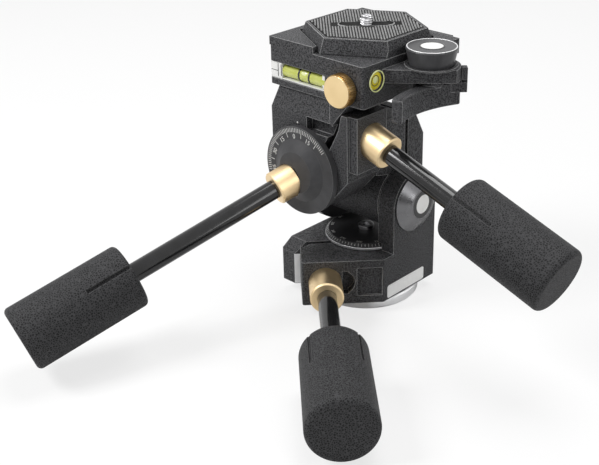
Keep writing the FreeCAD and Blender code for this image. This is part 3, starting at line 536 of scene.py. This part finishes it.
# the photograph shows a dark form under the dial that can't be read; a plain half ring round the
# tilt boss stands for it
ring_x, ring_half, ring_outer, ring_inner = -0.0270, 0.0028, 0.0252, 0.0157
tilt_ring = bmesh.new()
ring_plan = []
for radius, start, turn in ((ring_outer, 186, 7), (ring_inner, 354, -7)):
    for step in range(25):
        a = math.radians(start + step * turn)
        ring_plan.append((radius * math.cos(a), radius * math.sin(a)))
add_outline(tilt_ring, ring_plan, -ring_half, ring_half, 0.0003)
beside = Matrix(((0, 0, 1, ring_x), (1, 0, 0, tilt_y), (0, 1, 0, tilt_z), (0, 0, 0, 1)))
bmesh.ops.transform(tilt_ring, matrix=beside, verts=list(tilt_ring.verts))
finish_piece(piece_from(tilt_ring, "tilt_scale_ring"), dial_coat, "tilt_stage")

# the index that the dial is read against is one dot of paint on the platform above it
index_place = Matrix.Translation((-0.0148, -0.03804, 0.1072)) @ Matrix.Rotation(math.pi / 2, 4, "X")
index_mark = bmesh.new()
bmesh.ops.create_cone(index_mark, cap_ends=True, segments=16, radius1=0.00055, radius2=0.00045,
                      depth=0.00012, matrix=index_place)
finish_piece(piece_from(index_mark, "lateral_index_mark"), white_print, "platform_stage")


# Levels: a clear tube of yellow green fluid with two black rings, its white end block, and a round
# bubble in a black case. The safety knob beside them is turned and knurled brass.
def vial_glass(name, colour, centre_colour):
    material, tree, shader = new_finish(name, 0.0, 0.08, 0.6)
    shader.inputs["Transmission Weight"].default_value = 0.25
    shader.inputs["IOR"].default_value = 1.4
    cloud = place_effect(tree, grain, Scale=250.0, Detail=2.0, Contrast=0.8)
    tone = blend_colours(tree, cloud.outputs[0], colour, centre_colour)
    tree.links.new(tone, shader.inputs["Base Color"])
    return material


dress(vial_glass("tube_fluid", (0.62, 0.68, 0.06), (0.80, 0.84, 0.25)), "tube_vial")
dress(vial_glass("round_fluid", (1.0, 0.80, 0.02), (1.0, 0.88, 0.10)), "round_vial_lens")


def add_band(mesh, centre, axis, outer, inner, height):
    # a ring of square section, turned about its axis
    turn = Vector(axis).to_track_quat("Z", "Y").to_matrix().to_4x4()
    rim = bmesh.ops.create_circle(mesh, segments=64, radius=outer)["verts"]
    hole = bmesh.ops.create_circle(mesh, segments=64, radius=inner)["verts"]
    flat_ring = bmesh.ops.bridge_loops(mesh, edges=list({e for v in rim + hole for e in v.link_edges}))
    raised = bmesh.ops.extrude_face_region(mesh, geom=flat_ring["faces"])["geom"]
    top = [v for v in raised if isinstance(v, bmesh.types.BMVert)]
    bmesh.ops.translate(mesh, vec=(0, 0, height), verts=top)
    bmesh.ops.transform(mesh, matrix=Matrix.Translation(centre) @ turn, verts=rim + hole + top)
    bmesh.ops.recalc_face_normals(mesh, faces=list(mesh.faces))


def add_box(mesh, low, high):
    made = bmesh.ops.create_cube(mesh, size=1.0)["verts"]
    bmesh.ops.scale(mesh, vec=Vector(high) - Vector(low), verts=made)
    bmesh.ops.translate(mesh, vec=(Vector(low) + Vector(high)) / 2, verts=made)


# the tube lies in a white frame: a strip below it, a stop at its right, and thin lines on its block
frame_strips = bmesh.new()
add_box(frame_strips, (-0.0269, -0.0361, 0.1279), (0.0038, -0.0290, 0.1286))
add_box(frame_strips, (0.0016, -0.0357, 0.1290), (0.0038, -0.0295, 0.1362))
finish_piece(piece_from(frame_strips, "vial_frame_strips"), white_moulding, "platform_stage")
block_front, line_back = -0.0362, -0.03605
block_lines = bmesh.new()
for left, right, bottom, top in ((-0.0349, -0.0298, 0.1319, 0.1322), (-0.0301, -0.0297, 0.1290, 0.1362),
                                 (-0.0279, -0.0274, 0.1296, 0.1358)):
    add_box(block_lines, (left, block_front, bottom), (right, line_back, top))
finish_piece(piece_from(block_lines, "vial_block_lines"), black_moulding, "platform_stage")

bubble_clear, bubble_tree, bubble_shader = new_finish("bubble_clear", 0.0, 0.1, 0.5)
bubble_cloud = place_effect(bubble_tree, grain, Scale=300.0, Detail=2.0, Contrast=0.8)
bubble_tone = blend_colours(bubble_tree, bubble_cloud.outputs[0], (0.90, 0.93, 0.52), (0.72, 0.78, 0.30))
bubble_tree.links.new(bubble_tone, bubble_shader.inputs["Base Color"])


def add_bubble(name, size, place):
    bubble = bmesh.new()
    bmesh.ops.create_uvsphere(bubble, u_segments=32, v_segments=16, radius=1.0)
    bmesh.ops.scale(bubble, vec=size, verts=list(bubble.verts))
    bmesh.ops.translate(bubble, vec=place, verts=list(bubble.verts))
    finish_piece(piece_from(bubble, name), bubble_clear, "platform_stage")


vial_low, vial_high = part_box("tube_vial")
add_bubble("tube_bubble", (0.0033, 0.0013, 0.0016),
           ((vial_low[0] + vial_high[0]) / 2, vial_low[1] + 0.0014, vial_high[2] - 0.0024))

lens_low, lens_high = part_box("round_vial_lens")
lens_centre = Vector((lens_high[0], (lens_low[1] + lens_high[1]) / 2, (lens_low[2] + lens_high[2]) / 2))
round_rim = bmesh.new()
add_band(round_rim, lens_centre + Vector((0.0010, 0, 0)), (1, 0, 0), 0.0056, 0.0050, 0.0003)
finish_piece(piece_from(round_rim, "round_vial_rim"), bubble_clear, "platform_stage")
round_target = bmesh.new()
add_band(round_target, lens_centre, (1, 0, 0), 0.0029, 0.0025, 0.00008)
finish_piece(piece_from(round_target, "round_vial_target"), black_moulding, "platform_stage")
add_bubble("round_vial_bubble", (0.0004, 0.0019, 0.0019), lens_centre + Vector((-0.0001, 0.0002, 0.0004)))

knob_brass = turned_metal("knob_brass", (0.78, 0.60, 0.34), (0.58, 0.42, 0.20), (0.0175, -0.0395, 0.1326),
                          (0, -1, 0), 0.3)
dress(knob_brass, "safety_knob")
knurl_brass, knurl_tree, knurl_shader = new_finish("knurl_brass", 1.0, 0.35)
knurl_cloud = place_effect(knurl_tree, grain, Scale=300.0, Detail=2.0, Contrast=0.6)
knurl_tone = blend_colours(knurl_tree, knurl_cloud.outputs[0], (0.62, 0.42, 0.18), (0.40, 0.26, 0.10))
knurl_tree.links.new(knurl_tone, knurl_shader.inputs["Base Color"])
knob_low, knob_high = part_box("safety_knob")
knob_centre = (knob_low + knob_high) / 2
knob_radius = (knob_high[2] - knob_low[2]) / 2
ridge_count, ridge_size, ridge_place = 50, (0.0009, 0.0046, 0.0005), 0.0032
knurl = bmesh.new()
for step in range(ridge_count):
    made = bmesh.ops.create_cube(knurl, size=1.0)["verts"]
    bmesh.ops.scale(knurl, vec=ridge_size, verts=made)
    bmesh.ops.translate(knurl, vec=(knob_radius, 0, 0), verts=made)
    spin = Matrix.Rotation(math.radians(step * 360 / ridge_count), 3, "Y")
    bmesh.ops.rotate(knurl, matrix=spin, verts=made)
    bmesh.ops.translate(knurl, vec=(knob_centre[0], knob_low[1] + ridge_place, knob_centre[2]), verts=made)
finish_piece(piece_from(knurl, "safety_knob_knurl"), knurl_brass, "knob")


# Quick release plate: the third casting, whose edges carry the strongest painted highlight over their wear,
# with a dotted rubber pad glued on and the steel camera screw in its slot.
dress(powder_coat("plate_powder_coat", (0.95, 0.95, 0.95)), "quick_plate")
pad_rubber, pad_tree, pad_shader = new_finish("pad_rubber", 0.0, 0.9)
pad_shader.inputs["Specular IOR Level"].default_value = 0.08
pad_cloud = place_effect(pad_tree, grain, Scale=400.0, Detail=2.0, Contrast=0.6)
pad_tone = blend_colours(pad_tree, pad_cloud.outputs[0], (0.012, 0.012, 0.012), (0.03, 0.03, 0.03))
pad_tree.links.new(pad_tone, pad_shader.inputs["Base Color"])

pad_low, pad_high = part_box("plate_pad")
pad_radius = (pad_high[1] - pad_low[1]) / 2
pad_flat = pad_radius * math.cos(math.radians(30))
pad_plan = []
for corner in range(6):
    a = math.radians(60 * corner)
    pad_plan.append((pad_radius * math.sin(a), -pad_radius * math.cos(a)))
pad_sheet = bmesh.new()
add_outline(pad_sheet, pad_plan, pad_low[2], pad_high[2] - 0.0003, 0.0002)
pad_piece = finish_piece(piece_from(pad_sheet, "plate_pad_sheet"), pad_rubber, "plate")
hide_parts("plate_pad")

# the nubs are a lighter grey than the pad: painted highlight standing for the light caught on their tops
nub_painted_highlight, nub_tree, nub_shader = new_finish("nub_painted_highlight", 0.0, 0.45)
nub_cloud = place_effect(nub_tree, grain, Scale=500.0, Detail=2.0, Contrast=0.6)
nub_tone = blend_colours(nub_tree, nub_cloud.outputs[0], (0.40, 0.40, 0.40), (0.20, 0.20, 0.20))
nub_tree.links.new(nub_tone, nub_shader.inputs["Base Color"])
nub_pitch, nub_height, nub_margin, screw_clearing = 0.00148, 0.0004, 0.001, 0.0068
slot_half, slot_reach = 0.0042, 0.0150
nubs = bmesh.new()
for i in range(-24, 25):
    for j in range(-24, 25):
        across, along = i * nub_pitch, j * nub_pitch
        x = (across + along) * math.sqrt(0.5)
        y = (across - along) * math.sqrt(0.5)
        inside = max(abs(x), abs(x) / 2 + abs(y) * math.sqrt(0.75)) < pad_flat - nub_margin
        in_slot = abs(along) < slot_half and abs(across) < slot_reach + slot_half
        if inside and not in_slot and math.hypot(x, y) > screw_clearing:
            bmesh.ops.create_cone(nubs, cap_ends=True, segments=6, radius1=0.00052, radius2=0.00034,
                                  depth=nub_height, matrix=Matrix.Translation((x, y, pad_high[2] - 0.0001)))
finish_piece(piece_from(nubs, "plate_pad_nubs"), nub_painted_highlight, "plate")

# the long slot that the camera screw slides in shows as a raised lip round a dark floor; the lip's pale
# grey is a painted highlight
lip = bmesh.new()
capsule = []
for end in (1, -1):
    for step in range(13):
        a = math.radians(-90 + step * 15)
        along = slot_reach - slot_half + slot_half * math.cos(a)
        capsule.append((end * along, end * slot_half * math.sin(a)))
add_outline(lip, capsule, pad_high[2] - 0.0006, pad_high[2] + 0.0001, 0.0001)
lip_top = [f for f in lip.faces if f.normal.z > 0.9]
bmesh.ops.inset_region(lip, faces=lip_top, thickness=0.0005, depth=0.0)
sunk = [f for f in lip.faces if f.normal.z > 0.9 and f.calc_area() > 1e-5]
bmesh.ops.translate(lip, vec=(0, 0, -0.00035), verts=list({v for f in sunk for v in f.verts}))
bmesh.ops.rotate(lip, matrix=Matrix.Rotation(math.radians(45), 3, "Z"), verts=list(lip.verts))
lip_piece = finish_piece(piece_from(lip, "plate_slot_lip"), nub_painted_highlight, "plate")
lip_piece.data.materials.append(pad_rubber)
for face in lip_piece.data.polygons:
    face.material_index = int(face.normal.z > 0.9 and face.area > 1e-5)

# the screw: a headed stud with its thread, and a slot across the tip
screw_low, screw_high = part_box("camera_screw")
screw_steel = turned_metal("screw_steel", (0.62, 0.62, 0.63), (0.36, 0.36, 0.37), (0, 0, 0.15),
                           (0, 0, 1), 0.34)
core, crest, thread_pitch, ridge_half = 0.0026, 0.003175, 0.00127, 0.0005
head_radius, head_height, slot_depth = 0.009, 0.003, 0.0012
turns, facets = 6, 36
stud = bmesh.new()
for ring_index in range(turns * facets):
    # one short length of the thread's ridge, turned and raised by its share of the pitch
    a = 2 * math.pi * ring_index / facets
    b = 2 * math.pi * (ring_index + 1) / facets
    z = screw_high[2] - slot_depth - thread_pitch * ring_index / facets
    lower = z - thread_pitch / facets
    corners = [stud.verts.new((r * math.cos(t), r * math.sin(t), height + lift))
               for t, height in ((a, z), (b, lower))
               for r, lift in ((core - 0.0001, ridge_half), (crest, 0.0), (core - 0.0001, -ridge_half))]
    for first, second, third in ((0, 1, 2), (5, 4, 3)):
        stud.faces.new((corners[first], corners[second], corners[third]))
    for p, q in ((0, 1), (1, 2), (2, 0)):
        stud.faces.new((corners[p], corners[p + 3], corners[q + 3], corners[q]))
bmesh.ops.recalc_face_normals(stud, faces=list(stud.faces))
stud_length = screw_high[2] - 0.0011 - screw_low[2]
bmesh.ops.create_cone(stud, cap_ends=True, segments=36, radius1=core, radius2=core, depth=stud_length,
                      matrix=Matrix.Translation((0, 0, screw_low[2] + stud_length / 2)))
bmesh.ops.create_cone(stud, cap_ends=True, segments=48, radius1=head_radius, radius2=head_radius,
                      depth=head_height, matrix=Matrix.Translation((0, 0, screw_low[2] + head_height / 2)))
for side in (1, -1):
    half = []
    for step in range(13):
        a = math.radians(17 + step * (146 / 12))
        half.append((core * math.cos(a), side * core * math.sin(a)))
    add_outline(stud, half[::side], screw_high[2] - slot_depth, screw_high[2], 0.0002)
screw_piece = finish_piece(piece_from(stud, "camera_screw_stud"), screw_steel, "screw")
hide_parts("camera_screw")


# Locking lever: a cast arm on a steel pivot, bowed to follow the platform, with a small upright tab
# behind. A black moulded cap with a bare white centre is pressed on over the pivot and its spring.
pivot_steel = turned_metal("pivot_steel", steel_tone, steel_dark, (0.0435, 0, 0.13), (0, 0, 1), 0.28)
dress(pivot_steel, "lever_pivot", "lever_spring")
dress(satin_dark("lever_cap_coat", (0.045, 0.045, 0.047), 0.30), "lever_cap")

lever_low, lever_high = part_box("plate_lever")
pivot_low, pivot_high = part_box("lever_pivot")
lever_axis = (pivot_low + pivot_high) / 2
arm_top, hub_top, hub_radius = lever_low[2] + 0.0121, lever_low[2] + 0.0141, 0.0092
root_x, root_y, tip_back, arm_run, bow = 0.0109, 0.0103, 0.0040, 0.0433, 0.0045
band, tip_round = 0.0062, 0.0020


def bow_point(share, inward):
    # the arm's plan, from its rear corner to its tip, bowed towards the platform
    x = root_x - tip_back * share - bow * 4 * share * (1 - share) - inward
    return lever_axis[0] + x, lever_axis[1] + root_y - arm_run * share


plan = [bow_point(i / 24, 0.0) for i in range(24)]
tip_x, tip_y = bow_point(1, 0.0)
for corner_x, start in ((tip_x - tip_round, 0), (tip_x - band + tip_round, -90)):
    for step in range(5):
        a = math.radians(start - 90 * step / 4)
        plan.append((corner_x + tip_round * math.cos(a), tip_y + tip_round + tip_round * math.sin(a)))
plan += [bow_point(i / 24, band) for i in range(22, 11, -1)]
for step in range(13):
    a = math.radians(255 - step * 14)
    plan.append((lever_axis[0] + hub_radius * math.cos(a), lever_axis[1] + hub_radius * math.sin(a)))
arm_mesh = bmesh.new()
add_outline(arm_mesh, plan, lever_low[2], arm_top, 0.0008)
hub_place = Matrix.Translation((lever_axis[0], lever_axis[1], (hub_top + arm_top - 0.001) / 2))
bmesh.ops.create_cone(arm_mesh, cap_ends=True, segments=48, radius1=0.0066, radius2=0.0066,
                      depth=hub_top - arm_top + 0.001, matrix=hub_place)
tab_half, tab_root, tab_end, tab_thickness = 0.002, 0.006, 0.0183, 0.003
tab = bmesh.new()
for inner, bottom, top in ((tab_root, lever_low[2] + 0.0071, hub_top),
                           (tab_end - tab_thickness, hub_top - 0.002, lever_high[2])):
    tab_plan = [(-tab_half, inner), (tab_half, inner), (tab_half, tab_end), (-tab_half, tab_end)]
    add_outline(tab, tab_plan, bottom, top, 0.0004)
tab_place = Matrix.Translation((lever_axis[0], lever_axis[1], 0))
tab_place = tab_place @ Matrix.Rotation(math.radians(-46), 4, "Z")
bmesh.ops.transform(tab, matrix=tab_place, verts=list(tab.verts))
tab_data = bpy.data.meshes.new("tab")
tab.to_mesh(tab_data)
tab.free()
arm_mesh.from_mesh(tab_data)
bpy.data.meshes.remove(tab_data)
lever_piece = finish_piece(piece_from(arm_mesh, "plate_lever_arm"), casting_coat, "lever")
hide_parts("plate_lever")

# rings: the cap's bright rim, the groove round its centre, and the raised step on the lug below it
cap_low, cap_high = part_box("lever_cap")
for name, z, outer, inner, height, finish, body, slot in (
        ("lever_cap_rim", cap_high[2] - 0.0001, 0.0129, 0.0124, 0.0002, silver, "lever", "silver"),
        ("lever_cap_ring", cap_high[2] - 0.0001, 0.0066, 0.0058, 0.00025, black_moulding, "lever",
         "black_plastic"),
        ("lug_raised_ring", cap_low[2] - 0.0004, 0.0138, 0.0122, 0.0008, casting_coat, "platform_stage",
         "black_casting")):
    cap_band = bmesh.new()
    add_band(cap_band, (lever_axis[0], lever_axis[1], z), (0, 0, 1), outer, inner, height)
    finish_piece(piece_from(cap_band, name), finish, body)


# Handles: turned brass collars, gloss black rods and moulded rubber grips with a pebbled skin. Each
# rod's stud runs through its clamp, and the collar stands over the joint.
for name in ("pan", "tilt", "lateral"):
    grip_mesh = nodes[name + "_grip"].data
    collar_mesh = nodes[name + "_collar"].data
    grip_centre = sum((v.co for v in grip_mesh.vertices), Vector()) / len(grip_mesh.vertices)
    collar_centre = sum((v.co for v in collar_mesh.vertices), Vector()) / len(collar_mesh.vertices)
    gold = turned_metal(name + "_collar_gold", (0.84, 0.66, 0.40), (0.62, 0.43, 0.22), collar_centre,
                        (grip_centre - collar_centre).normalized(), 0.40)
    dress(gold, name + "_collar")

rod_gloss, rod_tree, rod_shader = new_finish("gloss_black_rod", 0.0, 0.12, 0.3)
rod_shader.inputs["Specular IOR Level"].default_value = 0.3
rod_cloud = place_effect(rod_tree, grain, Scale=120.0, Detail=3.0, Contrast=0.6)
rod_tone = blend_colours(rod_tree, rod_cloud.outputs[0], (0.006, 0.006, 0.006), (0.014, 0.014, 0.015))
rod_tree.links.new(rod_tone, rod_shader.inputs["Base Color"])
rod_tree.links.new(spread(rod_tree, rod_cloud.outputs[0], 0.08, 0.2), rod_shader.inputs["Roughness"])
dress(rod_gloss, "pan_rod", "tilt_rod", "lateral_rod")

grip_rubber, grip_tree, grip_shader = new_finish("pebbled_rubber", 0.0, 0.6)
grip_shader.inputs["Specular IOR Level"].default_value = 0.12
pebbles = grip_tree.nodes.new("ShaderNodeTexVoronoi")
pebbles.feature = "DISTANCE_TO_EDGE"
pebbles.inputs["Scale"].default_value = 900.0
grip_place = grip_tree.nodes.new("ShaderNodeTexCoord")
grip_tree.links.new(grip_place.outputs["Object"], pebbles.inputs["Vector"])
grip_edge_wear_and_sheen = place_effect(grip_tree, edges, Radius=0.0006, Spread=0.3)
grip_speck = place_effect(grip_tree, grain, Scale=700.0, Detail=2.0, Contrast=0.5)
pebble_tone = blend_colours(grip_tree, grip_speck.outputs[0], (0.006, 0.006, 0.006), (0.018, 0.018, 0.019))
pebble_rise = grip_tree.nodes.new("ShaderNodeMapRange")
pebble_rise.inputs["From Max"].default_value = 0.22
grip_tree.links.new(pebbles.outputs["Distance"], pebble_rise.inputs["Value"])
creases = spread(grip_tree, pebble_rise.outputs[0], 0.75, 0.0)
pebble_tone = blend_colours(grip_tree, creases, pebble_tone, (0.075, 0.075, 0.078))
# the grips' corners are lightened to grey: edge wear and a painted highlight
grip_rubbed_and_sheen_share = spread(grip_tree, grip_edge_wear_and_sheen.outputs["Mask"], 0.0, 0.5)
pebble_tone = blend_colours(grip_tree, grip_rubbed_and_sheen_share, pebble_tone, (0.20, 0.20, 0.20))
grip_tree.links.new(pebble_tone, grip_shader.inputs["Base Color"])
add_bump(grip_tree, grip_shader, pebbles.outputs["Distance"], 0.5, 0.0002, grip_edge_wear_and_sheen.outputs["Normal"])
dress(grip_rubber, "pan_grip", "tilt_grip", "lateral_grip")
